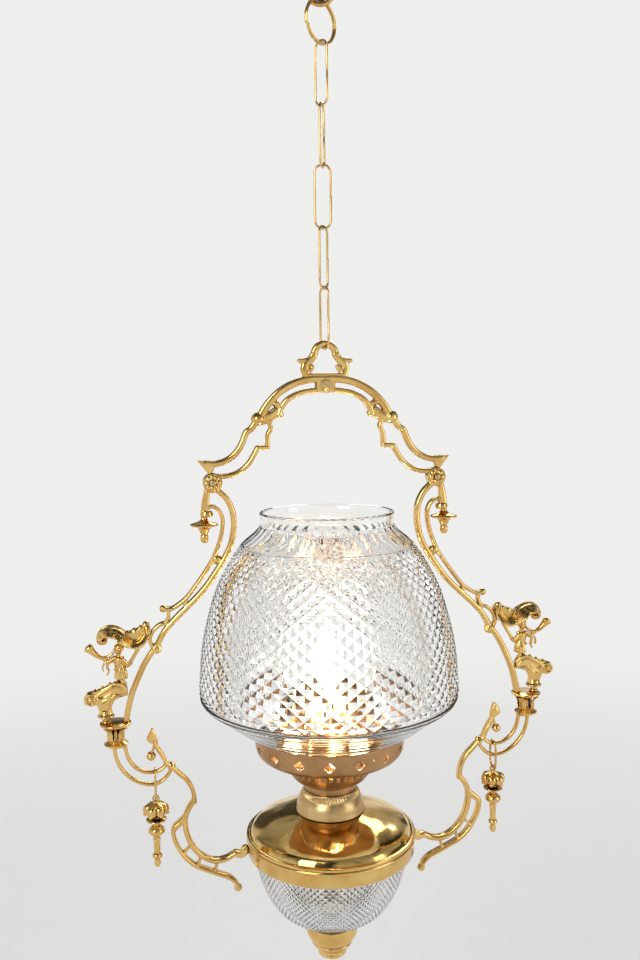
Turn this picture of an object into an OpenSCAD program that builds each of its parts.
// Harp pendant light: a brass frame of two scrolled sides hangs on a chain and
// carries a glass font, a pierced gallery, a lamp and a cut-glass shade.
// Millimetres, +Z up, the harp lies in the XZ plane and its front is -Y.
// The origin is where the hook's shank leaves the ceiling.

/* [Ceiling hook] */
// Diameter of the hook's wire
hook_wire = 4; // [3:0.1:5]
// Radius of the hook's bend, to the centre of its wire
hook_bend = 11; // [9:0.5:14]
// Depth of the lowest point of the hook's wire centre below the ceiling
hook_drop = 51; // [42:0.1:80]
// Diameter of the shank that screws into the ceiling
shank_d = 5; // [4.5:0.1:6]
// Length of the shank above the ceiling line
shank_len = 25; // [15:1:40]
// Radius of the stop collar under the ceiling
stop_r = 7; // [5:0.5:12]

/* [Ring and chain] */
// Radius of the split ring, to the centre of its wire
ring_r = 16.9; // [15:0.1:22]
// Diameter of the split ring's wire
ring_wire = 1.9; // [1.5:0.1:2.4]
// Length of a link between the wire centres at its two ends
link_len = 51.2; // [40:0.2:70]
// Width of a link between the wire centres at its two sides
link_w = 13.1; // [12:0.1:16]
// Diameter of the chain's wire
chain_wire = 1.9; // [1.5:0.1:2.2]

/* [Harp] */
// Depth of the cast rails, front to back
harp_depth = 8; // [6:0.2:10]
// Width of the main scroll rail
rail_w = 4.8; // [4:0.1:5.4]
// Width of the thin second rail
thin_w = 3.3; // [2.6:0.1:3.8]
// Width of the upper shoulder rail
shoulder_w = 6.3; // [5:0.1:7]
// Radius of the round bar at the top of the crest loop
crest_bar = 3; // [2.4:0.1:3.4]
// Radius of the crest arch, to the centre of its bar
crest_arch = 9; // [8:0.2:10]
// Half width of the saddle that clamps the two sides together
saddle_half = 8; // [7:0.2:10]
// Radius of the rosette boss
boss_r = 8; // [7:0.2:9]
// Radius of the bell disc that hangs under the scroll
bell_r = 11.5; // [8:0.5:12.5]
// Radius of the scalloped hood over the figure
hood_r = 19.5; // [17:0.5:20]
// Wall of the hood
hood_t = 1.5; // [1.2:0.1:2.5]
// Radius of the collar's upper flange
collar_r = 12.9; // [11.5:0.1:13.5]
// Height of the collar between its flanges' outer faces
collar_h = 19; // [17:0.5:22]
// Diameter of the twin bars under the collar
bar_d = 3.2; // [2.6:0.1:3.6]
// Length of the drop's link between its end wire centres
drop_link_len = 25; // [22:0.5:32]
// Radius of the drop's lobed knob
knob_r = 11; // [8:0.5:12]
// Length of the drop below its link
drop_len = 57; // [52:1:70]

/* [Font ring and font] */
// Outer radius of the ring that carries the font
font_r = 73; // [70:0.5:75]
// Height of the ring
font_ring_h = 17; // [14:0.5:22]
// Depth of the ring's top edge below the harp's shoulder line
ring_drop = 369; // [366:0.5:372]
// Wall of the ring
ring_wall = 3; // [2.5:0.1:4]
// Height of the polished dome above the ring
dome_h = 18; // [14:0.5:24]
// Wall of the dome's sheet brass
dome_t = 1.4; // [1:0.1:2]
// Depth of the glass bowl below the ring
bowl_h = 65; // [55:0.5:80]
// Wall of the glass bowl
bowl_t = 3.5; // [2.5:0.1:5]
// Radius of the cap that closes the bowl's bottom
cap_r = 22; // [19:0.5:26]
// Height of the bottom finial
finial_h = 35.5; // [30:0.5:45]
// Radius of the neck's base flange
neck_base_r = 29.5; // [27:0.5:33]
// Radius of the neck at its top
neck_top_r = 23; // [21:0.5:25]
// Height of the neck
neck_h = 19; // [16:0.5:24]

/* [Gallery and shade] */
// Radius of the burner cup under the gallery
cup_r = 22.5; // [21:0.5:24]
// Height of the cup that shows between the neck and the gallery
cup_h = 6; // [4:0.5:12]
// Outer radius of the gallery's rim
gallery_r = 64.5; // [60:0.5:68]
// Height of the gallery from its foot to its rim
gallery_h = 45; // [38:0.5:52]
// Wall of the gallery
gallery_t = 1.3; // [1:0.1:2]
// Pierced quatrefoils round the gallery
foil_count = 16; // [12:1:20]
// Radius of one lobe of a quatrefoil
foil_r = 2.3; // [1.8:0.1:2.6]
// Height of the shade from its foot to its rim
shade_h = 202.5; // [196:0.5:208]
// Greatest radius of the shade
shade_r = 110.5; // [100:0.5:112]
// Radius of the shade's open rim
rim_r = 56.6; // [50:0.2:58]
// Wall of the shade's glass
glass_t = 3.5; // [2.5:0.1:5]

/* [Lamp] */
// Radius of the lamp holder's shell
holder_r = 18; // [16.5:0.5:20]
// Height of the lamp holder's shell
holder_h = 40; // [34:1:50]
// Radius of the bulb's glass
bulb_r = 29; // [24:0.5:32]
// Radius of the bulb's screw cap
bulb_cap_r = 13.5; // [13:0.1:14]
// Radius of the tube that ties the font together
tube_r = 5; // [4:0.1:6.5]

/* [Hidden] */
SIDES = ["left", "right"];
CHAIN = ["chain_link_1", "chain_link_2", "chain_link_3", "chain_link_4", "chain_link_5"];
$fn = 64;

// Clearances and screws
link_gap = 0.25;
ring_gap = 0.6;
seat = 0.2;
glass_gap = 0.4;

// Colours
gold = "#c9992f";
bronze = "#9c6b3a";
satin = "#b9924a";
steel = "#c9c9cc";
clear_glass = [0.93, 0.95, 0.95, 0.4];

// Chain: each piece hangs from the one above and is turned about the vertical
hook_turn = -10.7;
ring_turn = 37.3;
link_turns = [-55.7, 64.3, -10.7, 49.3, -70.7];
link_hang = chain_wire + link_gap;
hook_low = -hook_drop;
ring_mid = hook_low + (hook_wire + ring_wire) / 2 + ring_gap - ring_r;
first_top = ring_mid - ring_r + (ring_wire + chain_wire) / 2 + ring_gap;
function link_top(i) = first_top - i * (link_len - link_hang);
chain_end = link_top(4) - link_len;

// Harp: heights below are measured from the shoulder line, which lies this
// far under the centre of the crest's round bar
crest_rise = 47.7;
harp_z = chain_end + chain_wire / 2 + link_gap + crest_bar - crest_rise;
relief = 1.1;
core = 0.55;
end_swell = 1.04;
saddle_low = 7.2;
saddle_top = 20;
boss_at = [95.5, -65.5];
boss_depth = harp_depth + 1;
collar_at = [179.3, -260.7];
collar_flange = 2;
collar_low_r = collar_r - 3;
bell_at = [103, -93.4];
hood_at = [172.5, -190.5];
hood_rise = 12.5;
figure_depth = 7;
pedestal_r = 7;
drop_at = [148.5, -305.6];
drop_link_top = drop_at[1] + (bar_d + chain_wire) / 2 + link_gap;
eye_r = 2.4;
eye_wire = 1.6;
eye_mid = drop_link_top - drop_link_len + (chain_wire + eye_wire) / 2 + link_gap - eye_r;

// Main scroll rail from the rosette to the collar, and the rails beside it
main_rail = [[91, -72], [84.2, -79], [80, -88], [78.6, -98], [79.4, -108], [82.3, -119],
    [87.6, -129.5], [94.5, -140], [102, -150.5], [110.5, -160], [120, -169],
    [129.5, -178], [138, -187.5], [144.5, -199], [150, -206], [155, -214],
    [160.2, -225], [164.8, -236], [168, -247], [170.3, -258], [170.6, -262]];
second_rail = [[99.6, -85.2], [94.6, -85.2], [90.2, -89.2], [87.8, -96],
    [88.5, -105], [91, -115], [94.6, -124], [98.5, -132], [105.5, -142.5],
    [112.5, -152], [119, -160], [124.5, -164.5], [131, -168.3], [137, -168.3]];
rail_node = [144.8, -201];
rail_tie = [[119.5, -160.5], [120.2, -168.5]];
bead_at = [93.6, -129];
bead_r = 3.7;
leg = [[100, -72], [101.3, -80], [102, -89.5]];
foot_at = [100.8, -91];
loop_strip = [[134, -169], [134.2, -175], [136.5, -180]];
leaf_loop = [[133, -182], [138.5, -180.3], [145, -184], [149, -190], [149.2, -196], [146, -201]];

// Shoulder: two rails that part at the saddle, the knuckle and two more rails
shoulder_rail = [[6, 18.6], [12, 18.4], [22, 16.6], [32.5, 12.2], [41.5, 5.8], [49.5, -3], [55, -12]];
lower_rail = [[6, 9.8], [18, 8.1], [27, 4.8], [33.3, 0.6], [37.6, -5.4], [39.5, -11]];
knuckle = [[41.5, -7], [47, -11.5], [52.5, -13.7], [56.5, -13.6]];
knuckle_w = [4, 9.4];
tab_curl = [[38, -5], [40.5, -1.6], [43.2, -1.4]];
tab = [[38, -10.5], [44.5, -12.5]];
leaf_link = [[44.5, -12], [47.3, -17], [46.6, -22], [48.8, -27], [49.4, -37.4]];
step_rail = [[49.4, -37.4], [57.8, -37.6]];
inner_rail = [[57.8, -37.6], [61.5, -44.5], [66, -51], [71.8, -56], [78.5, -59.2], [86, -60.4], [90.5, -60.2]];
outer_rail = [[58.5, -15.5], [62.5, -21.5], [67, -25], [69.6, -31.5], [73.3, -38.4],
    [79, -44.5], [86.5, -48.6], [95, -50.2], [101, -49.5]];
eave = [[92, -47.5], [107.5, -47], [98.4, -58.6], [95.4, -57.6], [93.4, -52]];

// Lower arm: from the leaf, down the strip and round to the font ring
arm_leaf = [[149.5, -268.6], [152.2, -271.5], [154.6, -276.5], [152.5, -279.6], [146.2, -281.6], [146, -276]];
arm_strip = [[148.5, -279], [146, -285], [141.6, -292.5], [138.6, -299], [134.4, -302.6],
    [128.4, -308.5], [121.8, -315.5], [117.7, -324], [116.4, -334]];
arm_knob = [134.8, -301.6];
arm_inner = [[116.8, -332.5], [121.4, -339], [124.6, -347], [124.4, -357], [121.6, -367],
    [116.6, -376], [109.5, -383], [101, -387], [91.5, -386.5], [83, -382.5]];
arm_outer = [[124, -345], [129.5, -350.5], [134.6, -355.5], [134.4, -363], [131.2, -372],
    [125.4, -381.5], [117, -389.6], [106.5, -395], [96.5, -399.6], [89, -403],
    [83.4, -408], [81.6, -412.5]];
arm_webs = [[[124.2, -349], [134, -357.5]], [[120, -371], [127.5, -379]],
    [[112, -381], [115.5, -391]], [[98, -387.5], [101, -397.5]]];
arm_curl = [81.4, -413.4];
stud_bead = [151.3, -291.8];
stud_neck = [[148.6, -282.5], [150.6, -289.5]];
twin_outer = [[181.2, -279.5], [179.6, -291], [175.6, -300.5], [169, -308.4], [160, -314],
    [150, -316.2], [142.6, -313.6], [137.4, -308.4], [135.6, -304.4]];
twin_inner = [[172.6, -279.5], [170.2, -291], [165.2, -299.4], [157.6, -304.6],
    [148.5, -305.6], [143.2, -303.6], [139.4, -300.4]];

// Console: a volute bracket behind the figure's feet, on a turned pedestal
console_line = [[168.2, -232], [172.5, -227.4], [178.6, -226.6], [190, -231.8], [199, -235.2],
    [204, -238.6], [203.4, -243.6], [198.6, -245.8], [194, -244.6], [192.2, -248.6],
    [191.4, -252.6], [181.4, -252.6], [182, -247.4], [179.4, -241.4], [174, -239.4],
    [168.6, -238.2]];
volute_at = [198.4, -240.4];
pedestal_at = [186.6, -252.6];

// Font and lamp levels, each worked out from the piece below it
ring_z = harp_z - ring_drop;
ring_low = ring_z - font_ring_h;
ledge_r = font_r - 2 * ring_wall;
ledge_t = 3;
flange_t = 3;
band_r = font_r - 0.9;
band_top = 6.6;
pad_h = font_ring_h - band_top - 2.4;
pad_z = -ring_drop - band_top - 0.8 - pad_h / 2;
screw_r = 1.5;
bush_r = 3.4;
flange_r = font_r - ring_wall - seat;
bowl_rim_z = ring_low + ledge_t + seat;
dome_foot_z = bowl_rim_z + flange_t + seat;
dome_top_z = ring_z + dome_h;
neck_z = dome_top_z + seat;
cup_z = neck_z + neck_h + seat;
gallery_z = cup_z + cup_h + seat;
gallery_rim_z = gallery_z + gallery_h;
bowl_low_z = ring_low - bowl_h;
washer_t = 1.5;
finial_z = bowl_low_z - washer_t - seat;
ledge_drop = 17.5;
shade_z = gallery_rim_z - ledge_drop + 2 * gallery_t + glass_gap;
holder_z = gallery_z + 3 * gallery_t + seat;
insulator_h = 8;
contact_h = 2.5;
bulb_seat_z = holder_z + gallery_t + insulator_h + contact_h + 3 * seat;
bulb_cap_h = 26;
bulb_len = 76;

// Curve through all its points
function bend(a, b, c, d, t) = 0.5 * (2 * b + (c - a) * t + (2 * a - 5 * b + 4 * c - d) * t * t
    + (3 * b - a - 3 * c + d) * t * t * t);
function pick(p, i) = p[min(max(i, 0), len(p) - 1)];
function smooth(p, n = 3) = len(p) < 3 ? p :
    [for (i = [0 : len(p) - 2]) for (k = [0 : n - 1])
        bend(pick(p, i - 1), p[i], p[i + 1], pick(p, i + 2), k / n), p[len(p) - 1]];
function across(p, i) = let (d = pick(p, i + 1) - pick(p, i - 1)) [-d.y, d.x] / norm(d);
function edge(p, w, s) = [for (i = [0 : len(p) - 1])
    p[i] + across(p, i) * s * (w[0] + (w[1] - w[0]) * i / (len(p) - 1)) / 2];
function backwards(p) = [for (i = [len(p) - 1 : -1 : 0]) p[i]];

// A wall of thickness t inside an outline of [radius, height] points
function wall(p, t) = concat(p, backwards([for (i = [0 : len(p) - 1]) p[i] + across(p, i) * t]));

module stroke(points, w) {
    line = smooth(points);
    widths = is_list(w) ? w : [w, w];
    polygon(concat(edge(line, widths, 1), backwards(edge(line, widths, -1))));
    translate(line[0]) circle(d = end_swell * widths[0], $fn = 32);
    translate(line[len(line) - 1]) circle(d = end_swell * widths[1], $fn = 32);
}

module plate(depth) {
    rotate([90, 0, 0]) linear_extrude(depth, center = true) children();
}

// A cast rail: a flat bar with a raised band down its middle on both faces
module rail(points, w, depth = harp_depth) {
    plate(depth - 2 * relief) stroke(points, w);
    plate(depth) stroke(points, w * core);
}

module at(point, y = 0) {
    translate([point[0], y, point[1]]) children();
}

module side(name) {
    translate([0, 0, harp_z]) mirror([name == "left" ? 1 : 0, 0, 0]) children();
}

module limb(a, b, ra, rb) {
    v = b - a;
    translate(a) rotate([0, acos(v.z / norm(v)), atan2(v.y, v.x)])
        cylinder(h = norm(v), r1 = ra, r2 = rb);
    translate(a) sphere(ra * 1.02);
    translate(b) sphere(rb * 1.02);
}

// Ceiling hook
module ceiling_hook() {
    color(steel) rotate([0, 0, hook_turn]) {
        cylinder(h = shank_len, d = shank_d);
        translate([0, 0, -3]) cylinder(h = 3, r = stop_r);
        translate([0, 0, hook_low + 2 * hook_bend]) cylinder(h = hook_drop - 2 * hook_bend - 2, d = hook_wire);
        translate([0, 0, hook_low + hook_bend]) rotate([90, 0, 0]) {
            rotate([0, 0, 90]) rotate_extrude(angle = 270) translate([hook_bend, 0]) circle(d = hook_wire);
        }
        translate([hook_bend, 0, hook_low + hook_bend]) sphere(d = hook_wire * 1.02);
    }
}

// Two turns of wire lie side by side, and the outer one ends in a small step
module split_ring() {
    color(gold) translate([0, 0, ring_mid]) rotate([0, 0, ring_turn]) rotate([90, 0, 0]) {
        for (s = [-1, 1]) translate([0, 0, s * (ring_wire / 2 - 0.03)])
            rotate_extrude() translate([ring_r, 0]) circle(d = ring_wire);
    }
}

module chain_link(i) {
    r = link_w / 2;
    color(gold) translate([0, 0, link_top(i)]) rotate([0, 0, link_turns[i]]) rotate([90, 0, 0]) {
        link(link_len, r);
    }
}

// A long link of round wire, hung from its top wire centre, in the XY plane
module link(len, r) {
    for (s = [0, 1]) translate([0, s ? -len + r : -r]) rotate([0, 0, 180 * s])
        rotate_extrude(angle = 180) translate([r, 0]) circle(d = chain_wire);
    for (s = [-1, 1]) translate([s * r, -r, 0]) rotate([90, 0, 0]) cylinder(h = len - 2 * r, d = chain_wire);
}

// Crest: a round arched bar that becomes a flat trefoil above the saddle
module crest_loop() {
    foot = saddle_top + seat;
    arch_z = crest_rise - crest_arch;
    outer = [[crest_arch - crest_bar, arch_z + 1], [crest_arch + crest_bar, arch_z + 1],
        [15.8, 36], [21.5, 35.3], [23.3, 33.8], [21.5, 32.3], [18, 31.4], [20.2, 28.4],
        [20.6, 25], [19.4, 21.9], [17.5, foot], [13, foot], [12.8, 24],
        [13.4, 27], [11.4, 30], [8.6, 33.2], [6.6, 35.4]];
    color(gold) translate([0, 0, harp_z]) difference() {
        union() {
            at([0, arch_z]) rotate([90, 0, 0]) rotate_extrude(angle = 180)
                translate([crest_arch, 0]) circle(r = crest_bar);
            for (s = [0, 1]) mirror([s, 0, 0]) plate(2 * crest_bar - 0.6) polygon(outer);
            plate(harp_depth - 2) translate([-17.5, foot]) square([35, 3]);
        }
        for (s = [0, 1]) mirror([s, 0, 0]) plate(2 * harp_depth) stroke(shoulder_rail, shoulder_w + 2 * seat);
    }
}

module crest_saddle() {
    h = saddle_top - saddle_low;
    color(gold) translate([0, 0, harp_z]) difference() {
        union() {
            at([0, saddle_low]) linear_extrude(h) square([2 * saddle_half, harp_depth], center = true);
            for (s = [-1, 1]) at([0, saddle_low + h / 2], s * harp_depth / 2)
                rotate([90, 0, 0]) cylinder(h = 3, r = 0.4 * h, $fn = 8, center = true);
        }
        at([0, saddle_low + h / 2]) rotate([90, 0, 0]) cylinder(h = 3 * harp_depth, r = 2 + seat, center = true);
    }
}

module saddle_screw() {
    color(satin) translate([0, 0, harp_z]) at([0, (saddle_low + saddle_top) / 2]) rotate([90, 0, 0]) {
        cylinder(h = harp_depth + 3 + 4 * seat, r = 2, center = true);
        for (s = [-1, 1]) translate([0, 0, s * (harp_depth / 2 + 1.5 + seat + 0.8)])
            cylinder(h = 1.6, r = 3.6, center = true);
    }
}

// Shoulder of one side: everything between the saddle and the rosette
module shoulder(name) {
    color(gold) side(name) difference() {
        union() {
            rail(shoulder_rail, shoulder_w);
            rail(lower_rail, 4.6);
            plate(harp_depth - 0.8) {
                stroke(knuckle, knuckle_w);
                stroke(leaf_link, [3.4, 4]);
                stroke(tab, [4, 3]);
            }
            rail(tab_curl, 3.4);
            rail(step_rail, 4.2);
            rail(inner_rail, 4.2);
            rail(outer_rail, 5.2);
            plate(harp_depth - 2 * relief) polygon(eave);
        }
        translate([-1, -harp_depth, 0]) cube([saddle_half + seat + 1, 2 * harp_depth, saddle_top + 1]);
        at(boss_at) rotate([90, 0, 0]) cylinder(h = 2 * harp_depth, r = boss_r + seat, center = true);
    }
}

// Rosette boss: a turned block with eight petals on each face
module rosette(name) {
    color(gold) side(name) at(boss_at) rotate([90, 0, 0]) difference() {
        union() {
            cylinder(h = boss_depth, r = boss_r, center = true);
            for (s = [0, 1]) mirror([0, 0, s]) translate([0, 0, boss_depth / 2]) {
                for (k = [0 : 7]) rotate([0, 0, 45 * k]) translate([0.66 * boss_r, 0, 0])
                    sphere(r = 0.24 * boss_r);
                cylinder(h = 1.6, r1 = 0.46 * boss_r, r2 = 0.34 * boss_r);
            }
        }
        cylinder(h = 3 * boss_depth, r = screw_r + seat, center = true);
    }
}

module scroll_arm(name) {
    flange_top = collar_at[1] + seat;
    color(gold) side(name) difference() {
        union() {
            rail(main_rail, rail_w);
            rail(second_rail, thin_w, harp_depth - 1);
            rail(rail_tie, 3.4);
            rail(loop_strip, 2.6, harp_depth - 1);
            rail(leaf_loop, 2.4, harp_depth - 1);
            plate(harp_depth - 1) stroke(leg, [4.6, 7.4]);
            at(foot_at) translate([0, 0, -2.2]) cylinder(h = 4.4, r1 = 5.4, r2 = 4.6);
            at(bead_at) sphere(bead_r + 0.6);
            at(rail_node) sphere(4.9);
            at([138.2, -168.2]) sphere(3);
            at([135.4, -182.6]) sphere(2.4);
        }
        at(boss_at) rotate([90, 0, 0]) cylinder(h = 2 * harp_depth, r = boss_r + seat, center = true);
        translate([150, -20, flange_top - 10]) cube([40, 40, 10]);
    }
}

// Bell under the scroll: a turned disc with a short finial
module bell(name) {
    top = foot_at[1] - 2.2 - seat - bell_at[1];
    color(gold) side(name) at(bell_at) rotate_extrude()
        polygon([[0, top], [2.6, top], [2.6, -2.4], [5.4, -4.2], [bell_r - 1, -5.4],
            [bell_r, -6.2], [bell_r, -7.2], [bell_r - 1.4, -7.8], [5.8, -9.4], [3.8, -13],
            [2.5, -14.6], [3.3, -16.4], [3.3, -19.4], [2.2, -21.4], [0, -21.8]]);
}

// Scalloped hood over the figure, with its bracket and slanting strut
module hood(name) {
    dome = [[hood_r, 0], [hood_r - 1, 3.4], [0.82 * hood_r, 0.56 * hood_rise],
        [0.6 * hood_r, 0.8 * hood_rise], [0.3 * hood_r, 0.95 * hood_rise], [0.4, hood_rise]];
    color(gold) side(name) difference() {
        union() {
            at(hood_at) difference() {
                rotate_extrude() polygon(wall(smooth(dome, 3), hood_t));
                for (k = [0 : 7]) rotate([0, 0, 45 * k + 22.5]) translate([hood_r, 0, -1.4])
                    rotate([0, 90, 0]) cylinder(h = 12, r = 3.2, center = true);
            }
            at([hood_at[0], hood_at[1] + hood_rise - 0.5]) sphere(2.3);
            limb([148, 0, -187], [hood_at[0] - hood_r + 1.8, 0, hood_at[1] + 4.2], 1.5, 1.5);
            limb([hood_at[0] - hood_r + 1.8, 0, hood_at[1] + 4.2], [165.4, 0, -210.6], 1.4, 1.5);
        }
        plate(2 * harp_depth) stroke(leaf_loop, 2.4 + 2 * seat);
        translate([165.8, 0, -212.6]) sphere(2.4 + seat);
    }
}

// Small draped figure with one arm raised and one hand on the hood's strut
module figure(name) {
    color(gold) side(name) difference() {
        union() {
            translate([174.4, 0, -204.2]) rotate([0, -6, 0]) rotate_extrude()
                polygon([[0, 0], [2, 0], [2.5, 1.4], [3.4, 3.2], [3.8, 5.4], [3.5, 7.6], [2.4, 9.2], [0, 9.8]]);
            limb([174.6, 0, -207.4], [174.8, 0, -203.6], 2.4, 1.8);
            limb([174.8, 0, -209.6], [174.6, 0, -217.6], 4.2, 3.1);
            limb([174.6, 0, -217.6], [171.4, 0, -226.4], 3.4, 3.1);
            limb([172, 0, -209], [167.6, 0, -213.4], 1.9, 1.6);
            limb([167.6, 0, -213.4], [165.8, 0, -212.6], 1.6, 2.4);
            limb([178, 0, -209], [185.4, 0, -208.4], 1.9, 1.7);
            limb([185.4, 0, -208.4], [191.4, 0, -201.6], 1.6, 1.3);
            limb([189, 0, -204.4], [197.2, 0, -195.6], 1.3, 2.3);
        }
        plate(3 * harp_depth) stroke(main_rail, rail_w + 2 * seat);
        plate(3 * harp_depth) offset_line(console_line);
    }
}

// The console's outline, grown by the seat clearance along its upper edge
module offset_line(line) {
    polygon(line);
    stroke_closed(line, 2 * seat);
}

module stroke_closed(line, w) {
    for (i = [0 : len(line) - 1]) {
        a = line[i];
        b = line[(i + 1) % len(line)];
        polygon([for (s = [[a, 1], [b, 1], [b, -1], [a, -1]])
            s[0] + s[1] * [a.y - b.y, b.x - a.x] / norm(b - a) * w / 2]);
        translate(a) circle(d = w);
    }
}

module console(name) {
    stand = collar_at[1] + seat;
    color(gold) side(name) difference() {
        union() {
            plate(figure_depth) polygon(console_line);
            for (s = [0, 1]) mirror([0, s, 0]) at(volute_at, -figure_depth / 2) rotate([90, 0, 0])
                cylinder(h = 1.4, r1 = 4.6, r2 = 3.6);
            for (s = [-1, 1]) at([183.6, -238.4], s * figure_depth / 2) sphere(3);
            for (s = [-1, 1]) at([190.6, -240.4], s * figure_depth / 2) sphere(2.6);
            at([pedestal_at[0], stand]) rotate_extrude()
                polygon([[0, 0], [3.4, 0], [3.4, 1.6], [2.4, 3], [2.6, 4.4], [pedestal_r, 5],
                    [pedestal_r, 6.8], [5.4, 8.2], [4.6, 10.4], [0, 10.4]]);
        }
        plate(3 * harp_depth) stroke(main_rail, rail_w + 2 * seat);
    }
}

// Turned collar: two flanges and a waisted spool with four leaves
module collar(name) {
    low = -collar_h;
    color(gold) side(name) at(collar_at) difference() {
        union() {
            rotate_extrude() polygon([[0, 0], [collar_r - 0.8, 0], [collar_r, -0.8],
                [collar_r, -collar_flange], [collar_r - 4, -collar_flange - 1.4],
                [5, -collar_flange - 4.4], [4.4, -collar_h / 2], [5, low + 4.6],
                [collar_low_r - 3, low + collar_flange + 1], [collar_low_r, low + collar_flange],
                [collar_low_r, low + 0.6], [collar_low_r - 0.8, low], [0, low]]);
            for (k = [0 : 3]) rotate([0, 0, 90 * k + 45]) translate([4.6, 0, -collar_flange - 7])
                rotate([0, 8, 0]) cylinder(h = 10, r1 = 1.2, r2 = 2.6, center = true);
        }
        translate([0, 0, low - 1]) cylinder(h = 6, r = 1.6);
    }
}

module twin_bars(name) {
    top = collar_at[1] - collar_h - seat;
    color(gold) side(name) difference() {
        union() {
            rail(twin_outer, bar_d, bar_d + 1.2);
            rail(twin_inner, bar_d, bar_d + 1.2);
            translate([collar_at[0] - 8.4, -3.4, top - 2.4]) cube([12.6, 6.8, 2.4]);
        }
        translate([150, -20, top]) cube([50, 40, 20]);
        plate(3 * harp_depth) stroke(arm_strip, 3.6 + 2 * seat);
        at(arm_knob) sphere(3.4 + seat);
    }
}

module lower_arm(name) {
    pad = [[83, -382.5], [font_r + 4, pad_z]];
    color(gold) side(name) difference() {
        union() {
            plate(harp_depth - 2) polygon(arm_leaf);
            rail(arm_strip, 3.6);
            rail(arm_inner, 4.4);
            rail(arm_outer, 3.6);
            plate(harp_depth - 2 * relief) {
                for (w = arm_webs) stroke(w, 2.4);
                stroke(pad, [6, 8]);
            }
            at(arm_knob) sphere(3.4);
            at(arm_curl) sphere(3.4);
            at(stud_bead) sphere(3.2);
            plate(3) stroke(stud_neck, 2.4);
            translate([font_r - 2, -5, pad_z - pad_h / 2]) cube([7, 10, pad_h]);
        }
        translate([0, 0, pad_z - 20]) cylinder(h = 40, r = band_r + seat);
        at([font_r, pad_z]) rotate([0, 90, 0]) cylinder(h = 14, r = screw_r + seat, center = true);
    }
}

// Link of the drop: it hangs on the inner bar and goes round the outer one
module drop_link(name) {
    color(gold) side(name) at([drop_at[0], drop_link_top]) rotate([0, 0, 90]) rotate([90, 0, 0])
        link(drop_link_len, link_w / 2);
}

// Turned drop with six lobes, hung by a small eye that the link passes through
module drop(name) {
    l = drop_len;
    color(gold) side(name) {
        at([drop_at[0], eye_mid]) rotate([90, 0, 0]) rotate_extrude() translate([eye_r, 0]) circle(d = eye_wire);
        at([drop_at[0], eye_mid - eye_r - 0.3]) {
            rotate_extrude() polygon([[0, 0], [1.6, 0], [2.2, -1.2], [0.7 * knob_r, -2.4],
                [knob_r, -5.6], [0.92 * knob_r, -9], [0.55 * knob_r, -12], [3, -13.4],
                [8.6, -15], [8.6, -16.6], [3, -18.4], [2.8, -20], [6.8, -23.4], [7, -26],
                [3, -29.4], [2.2, -31.4], [2, -0.79 * l], [4.2, -0.81 * l],
                [4.2, -0.84 * l], [1.8, -0.87 * l], [1.4, -0.97 * l], [0, -l]]);
            for (k = [0 : 5]) rotate([0, 0, 60 * k]) translate([0.86 * knob_r, 0, -6.6]) sphere(0.26 * knob_r);
        }
    }
}

module harp_screws() {
    color(satin) for (name = SIDES) side(name) {
        at(boss_at) rotate([90, 0, 0]) {
            cylinder(h = boss_depth + 3.2 + 4 * seat, r = screw_r, center = true);
            for (s = [-1, 1]) translate([0, 0, s * (boss_depth / 2 + 1.6 + seat + 0.6)])
                cylinder(h = 1.2, r = 2.5, center = true);
        }
    }
}

// Ring that the two lower arms carry: two beads, a plain band and an inner ledge
module font_ring() {
    color(gold) difference() {
        translate([0, 0, ring_z]) rotate_extrude()
            polygon([[font_r - ring_wall, 0], [font_r - 1, 0], [font_r - 0.1, -0.9], [font_r - 0.1, -2.3],
                [band_r, -3.2], [font_r, -4.2], [font_r, -5.6], [band_r, -band_top],
                [band_r, -font_ring_h + 1.2], [band_r - 1.1, -font_ring_h], [ledge_r, -font_ring_h],
                [ledge_r, -font_ring_h + ledge_t], [font_r - ring_wall, -font_ring_h + ledge_t]]);
        for (s = [-1, 1]) translate([s * font_r, 0, harp_z + pad_z]) rotate([0, 90, 0])
            cylinder(h = 14, r = screw_r + seat, center = true);
    }
}

module ring_screws() {
    reach = ring_wall + 3.6;
    color(satin) for (s = [-1, 1]) translate([s * (font_r - ring_wall + seat), 0, harp_z + pad_z])
        rotate([0, s * 90, 0]) cylinder(h = reach, r = screw_r);
}

module font_bowl() {
    line = [[0.985 * ledge_r, -0.5], [0.978 * ledge_r, -0.1 * bowl_h], [0.95 * ledge_r, -0.25 * bowl_h],
        [0.9 * ledge_r, -0.41 * bowl_h], [0.835 * ledge_r, -0.56 * bowl_h], [0.73 * ledge_r, -0.73 * bowl_h],
        [0.58 * ledge_r, -0.86 * bowl_h], [0.42 * ledge_r, -0.95 * bowl_h], [cap_r - 4, -bowl_h]];
    curve = smooth(line, 3);
    color(clear_glass) difference() {
        union() {
            translate([0, 0, ring_low]) rotate_extrude() polygon(concat([[ledge_r - seat * 2, ledge_t + 1]],
                curve, [[0, -bowl_h], [0, ledge_t + 1]]));
            translate([0, 0, bowl_rim_z]) cylinder(h = flange_t, r = flange_r);
        }
        translate([0, 0, ring_low]) rotate_extrude() polygon(concat([[ledge_r - 2 * seat - bowl_t, 20]],
            [for (i = [0 : len(curve) - 3]) curve[i] - [bowl_t, -0.35 * bowl_t]],
            [[0, -bowl_h + bowl_t + 1], [0, 20]]));
        translate([0, 0, bowl_low_z - 5]) cylinder(h = 20, r = tube_r + seat);
    }
}

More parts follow.
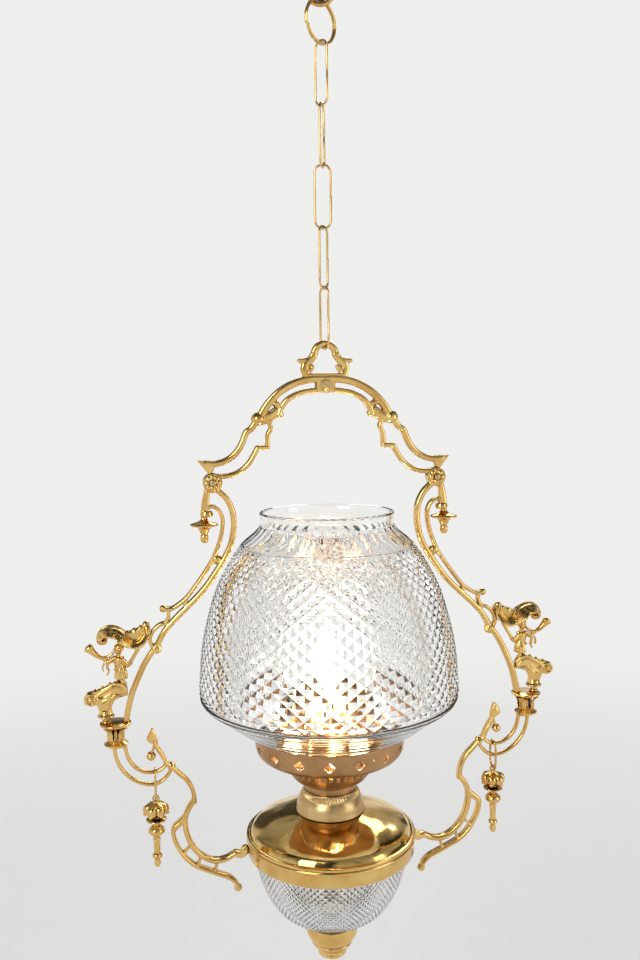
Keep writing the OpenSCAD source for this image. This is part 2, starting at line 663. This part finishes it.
module font_dome() {
    h = dome_top_z - dome_foot_z;
    rise = dome_h;
    line = [[flange_r, 0], [flange_r, h - rise - 0.5], [0.965 * flange_r, h - 0.8 * rise],
        [0.9 * flange_r, h - 0.62 * rise], [0.78 * flange_r, h - 0.42 * rise],
        [0.63 * flange_r, h - 0.22 * rise], [0.48 * flange_r, h - 0.07 * rise],
        [0.4 * flange_r, h], [tube_r + seat, h]];
    color(gold) translate([0, 0, dome_foot_z]) rotate_extrude()
        polygon(concat(line, [[tube_r + seat, h - dome_t], [0.39 * flange_r, h - dome_t]],
            backwards([for (i = [0 : 6]) line[i] - [dome_t * 1.2, i < 2 ? (i == 0 ? 0 : dome_t) : dome_t]])));
}

// Neck with a flared foot and an upright knurled band
module neck() {
    color(satin) translate([0, 0, neck_z]) difference() {
        rotate_extrude() polygon([[0, 0], [neck_base_r, 0], [neck_base_r + 0.4, 1], [neck_base_r, 2],
            [neck_base_r - 0.6, 0.45 * neck_h], [neck_top_r + 3.6, 0.58 * neck_h], [neck_top_r + 0.6, 0.68 * neck_h],
            [neck_top_r, 0.74 * neck_h], [neck_top_r, neck_h], [neck_top_r - 2, neck_h], [neck_top_r - 2, 3], [0, 3]]);
        translate([0, 0, -1]) cylinder(h = 6, r = tube_r + seat);
        translate([0, neck_base_r, 0.25 * neck_h]) rotate([90, 0, 0])
            cylinder(h = 4 * neck_base_r / 3, r = bush_r + seat, center = true);
    }
}

// Bush at the back of the neck, where the supply lead goes in
module inlet_bush() {
    bore = 2.1;
    color("#2a2320") translate([0, neck_base_r - 8, neck_z + 0.25 * neck_h]) rotate([-90, 0, 0]) difference() {
        union() {
            cylinder(h = 11, r = bush_r);
            translate([0, 0, 8.4]) cylinder(h = 2.6, r = bush_r + 1.1);
        }
        translate([0, 0, -1]) cylinder(h = 14, r = bore);
    }
}

module burner_cup() {
    color(bronze) translate([0, 0, cup_z]) difference() {
        rotate_extrude() polygon([[0, 0], [neck_top_r - 2 - seat, 0], [cup_r, 0], [cup_r + 0.6, 1],
            [cup_r, 2], [cup_r, cup_h], [cup_r - 1.4, cup_h], [cup_r - 1.4, 1.6], [0, 1.6]]);
        translate([0, 0, -1]) cylinder(h = 4, r = tube_r + seat);
        for (k = [0 : 11]) rotate([0, 0, 30 * k]) translate([cup_r, 0, cup_h / 2 + 0.9])
            rotate([0, 90, 0]) cylinder(h = 6, r = 1, center = true);
    }
}

// Pierced gallery: a dished bowl with a row of quatrefoils and a shade ledge
module gallery() {
    g = gallery_r;
    h = gallery_h;
    line = [[cup_r, 0], [0.54 * g, 0.17 * h], [0.69 * g, 0.29 * h], [0.83 * g, 0.42 * h],
        [0.93 * g, 0.53 * h], [0.975 * g, 0.66 * h], [0.985 * g, 0.8 * h], [g - 0.3, h - 2.2], [g, h - 1.6], [g, h]];
    foil_z = 0.775 * h;
    color(bronze) translate([0, 0, gallery_z]) difference() {
        union() {
            rotate_extrude() polygon(wall(line, gallery_t));
            translate([0, 0, h - ledge_drop]) rotate_extrude()
                polygon([[g - 7.6, 0], [g - 2.9, 0], [g - 1.9, 2 * gallery_t], [g - 7.6, 2 * gallery_t]]);
            difference() {
                cylinder(h = 3 * gallery_t, r = cup_r + 2.4);
                translate([0, 0, -1]) cylinder(h = 6 * gallery_t, r = tube_r + seat);
            }
        }
        for (k = [0 : foil_count - 1]) rotate([0, 0, 360 / foil_count * (k + 0.5)])
            translate([g, 0, foil_z]) rotate([0, 90, 0]) quatrefoil();
        for (k = [0 : foil_count - 1]) rotate([0, 0, 360 / foil_count * k]) translate([0.43 * g, 0, 0])
            cylinder(h = h / 2, r = 1.6);
    }
}

module quatrefoil() {
    linear_extrude(14, center = true) {
        for (k = [0 : 3]) rotate([0, 0, 90 * k]) translate([0.85 * foil_r, 0]) circle(foil_r, $fn = 24);
    }
}

// Cap and turned finial that close the bottom of the bowl
module bottom_finial() {
    h = finial_h;
    color(gold) translate([0, 0, finial_z]) difference() {
        rotate_extrude() polygon([[0, 0], [cap_r - 0.8, 0], [cap_r, -1], [cap_r + 0.3, -0.13 * h],
            [cap_r - 0.4, -0.36 * h], [0.87 * cap_r, -0.5 * h], [0.68 * cap_r, -0.6 * h],
            [0.57 * cap_r, -0.7 * h], [0.56 * cap_r, -0.77 * h], [0.42 * cap_r, -0.85 * h],
            [0.23 * cap_r, -0.92 * h], [0.1 * cap_r, -0.98 * h], [0, -h]]);
        translate([0, 0, -14]) cylinder(h = 20, r = tube_r + seat);
    }
}

// Threaded tube from the finial up through the font to the lamp holder
module centre_tube() {
    low = finial_z - 13;
    color(steel) translate([0, 0, low]) difference() {
        cylinder(h = holder_z - seat - low, r = tube_r);
        translate([0, 0, -1]) cylinder(h = holder_z - low + 2, r = tube_r - 1.2);
    }
}

module tube_nuts() {
    color(steel) for (z = [dome_top_z - dome_t - seat - 3, bowl_low_z + bowl_t + 1 + seat])
        translate([0, 0, z]) difference() {
            cylinder(h = 3, r = 2 * tube_r, $fn = 6);
            translate([0, 0, -1]) cylinder(h = 6, r = tube_r + 0.05);
        }
}

module bowl_washer() {
    color("#8a6a48") translate([0, 0, bowl_low_z - washer_t - seat / 2]) difference() {
        cylinder(h = washer_t, r = cap_r - 4.6);
        translate([0, 0, -1]) cylinder(h = 4, r = tube_r + seat);
    }
}

// Lamp holder: a brass shell, a ceramic base inside it and a centre contact
module lamp_holder() {
    color(satin) translate([0, 0, holder_z]) difference() {
        rotate_extrude() polygon([[0, 0], [holder_r, 0], [holder_r, 0.42 * holder_h], [holder_r + 1, 0.45 * holder_h],
            [holder_r + 1, 0.53 * holder_h], [holder_r - 0.6, 0.56 * holder_h], [holder_r - 0.6, holder_h],
            [bulb_cap_r + 0.5, holder_h], [bulb_cap_r + 0.5, gallery_t + insulator_h + seat],
            [holder_r - 1.2, gallery_t + insulator_h + seat], [holder_r - 1.2, gallery_t], [0, gallery_t]]);
        translate([0, 0, -1]) cylinder(h = 3, r = tube_r - 1.2);
    }
}

module holder_insulator() {
    color("#ece8df") translate([0, 0, holder_z + gallery_t + seat / 2])
        cylinder(h = insulator_h, r = holder_r - 1.2 - seat);
}

module holder_contact() {
    color(satin) translate([0, 0, holder_z + gallery_t + insulator_h + seat]) cylinder(h = contact_h, r = 4);
}

module bulb_cap() {
    color(steel) translate([0, 0, bulb_seat_z]) rotate_extrude()
        polygon([[0, 0], [4.6, 0], [6, 2.4], [bulb_cap_r - 1.6, 5], [bulb_cap_r, 6.4],
            [bulb_cap_r, bulb_cap_h], [bulb_cap_r - 0.8, bulb_cap_h], [bulb_cap_r - 0.8, 8], [0, 8]]);
}

module bulb_glass() {
    mid = bulb_len - bulb_r;
    line = [[bulb_cap_r - 1.2, -8], [bulb_cap_r - 1.2, 2], [0.54 * bulb_r, 9], [0.76 * bulb_r, 0.45 * mid],
        [0.95 * bulb_r, 0.72 * mid], [bulb_r, mid], [0.94 * bulb_r, mid + 0.34 * bulb_r],
        [0.77 * bulb_r, mid + 0.64 * bulb_r], [0.5 * bulb_r, mid + 0.87 * bulb_r],
        [0.22 * bulb_r, mid + 0.975 * bulb_r], [0, bulb_len]];
    line_in = [for (i = [0 : len(line) - 1]) [max(0, line[i].x - 0.9), line[i].y - (i > 6 ? 0.9 : 0)]];
    color([1, 0.97, 0.9, 0.6]) translate([0, 0, bulb_seat_z + bulb_cap_h + seat]) rotate_extrude()
        polygon(concat(line, backwards(line_in)));
}

// Glass stem and a ring of filament inside the bulb
module bulb_filament() {
    color("#ffd28a") translate([0, 0, bulb_seat_z + 8 + seat]) {
        cylinder(h = bulb_cap_h, r1 = 8, r2 = 3);
        translate([0, 0, bulb_cap_h - 1]) cylinder(h = 30, r = 1);
        translate([0, 0, bulb_cap_h + 28]) rotate_extrude() translate([9, 0]) circle(r = 0.5, $fn = 16);
        translate([0, 0, bulb_cap_h + 28]) rotate([0, 90, 0]) cylinder(h = 18, r = 0.5, center = true);
    }
}

// Cut-glass shade: a plain collar, a swelling body and a taper to the gallery
module shade() {
    h = shade_h;
    foot_r = gallery_r - 2.4;
    seat_h = ledge_drop - 2 * gallery_t - glass_gap;
    outer = [[foot_r - 1.4, 0], [foot_r - 0.8, seat_h - 1.4], [foot_r + 1.4, seat_h + 1],
        [0.67 * shade_r, 0.0943 * h], [0.76 * shade_r, 0.131 * h], [0.85 * shade_r, 0.17 * h],
        [0.923 * shade_r, 0.1975 * h], [0.968 * shade_r, 0.217 * h], [0.991 * shade_r, 0.2346 * h],
        [shade_r, 0.269 * h], [0.9955 * shade_r, 0.31 * h], [0.985 * shade_r, 0.4 * h],
        [0.96 * shade_r, 0.491 * h], [0.919 * shade_r, 0.581 * h], [0.863 * shade_r, 0.6785 * h],
        [0.787 * shade_r, 0.763 * h], [0.727 * shade_r, 0.82 * h], [0.666 * shade_r, 0.8647 * h],
        [rim_r + 5.4, 0.914 * h], [rim_r + 0.6, 0.941 * h], [rim_r, 0.956 * h], [rim_r, 0.985 * h],
        [rim_r + 0.4, h]];
    color(clear_glass) translate([0, 0, shade_z]) rotate_extrude() polygon(wall(outer, glass_t));
}

ceiling_hook();
split_ring();
for (i = [0 : len(CHAIN) - 1]) chain_link(i);
crest_loop();
crest_saddle();
saddle_screw();
for (name = SIDES) {
    shoulder(name);
    rosette(name);
    scroll_arm(name);
    bell(name);
    hood(name);
    figure(name);
    console(name);
    collar(name);
    twin_bars(name);
    lower_arm(name);
    drop_link(name);
    drop(name);
}
harp_screws();
font_ring();
ring_screws();
font_bowl();
font_dome();
neck();
burner_cup();
gallery();
bottom_finial();
centre_tube();
tube_nuts();
bowl_washer();
inlet_bush();
lamp_holder();
holder_insulator();
holder_contact();
bulb_cap();
bulb_glass();
bulb_filament();
shade();
